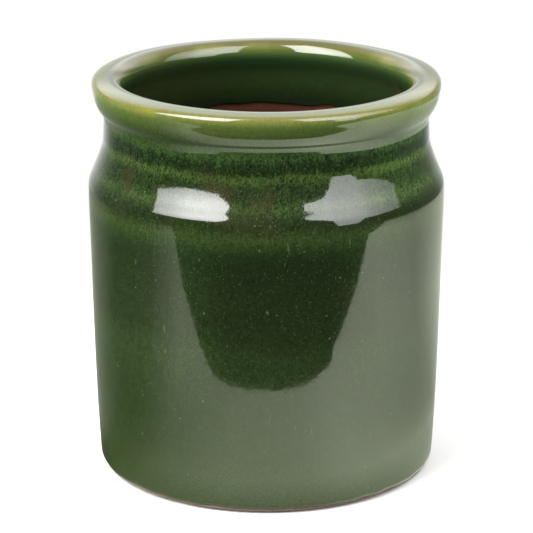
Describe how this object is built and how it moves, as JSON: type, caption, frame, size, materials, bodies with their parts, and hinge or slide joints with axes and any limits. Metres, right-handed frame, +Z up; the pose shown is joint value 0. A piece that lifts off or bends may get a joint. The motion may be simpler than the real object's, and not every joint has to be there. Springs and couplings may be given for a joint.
{
  "type": "glazed terracotta plant pot",
  "caption": "Jar-shaped plant pot of red clay with a rolled rim, grooved neck and glossy green glaze outside, bare clay inside, a lift-out drain plug and rubber foot pads.",
  "frame": {"origin": "centre of the plane the pot stands on, under the foot pads", "axes": "+Z up along the axis the pot is turned about, -Y towards the viewer"},
  "size_m": [0.154, 0.154, 0.1738],
  "materials": {
    "clay": "bare fired red earthenware, matte and porous",
    "glaze": "glossy reactive green glaze, breaking to olive at the edges",
    "plug_rubber": "moulded black rubber, satin",
    "pad_rubber": "dark grey rubber, matte"
  },
  "bodies": {
    "pot": {"clay_body": "clay", "glaze_coat": "glaze", "foot_pad_1": "pad_rubber", "foot_pad_2": "pad_rubber", "foot_pad_3": "pad_rubber", "foot_pad_4": "pad_rubber"},
    "plug": {"drain_plug": "plug_rubber"}
  },
  "joints": [
    {"name": "plug_lift", "type": "slide", "parent": "pot", "child": "plug", "axis": [0, 0, 1], "range_m": [0, 0.19]}
  ]
}
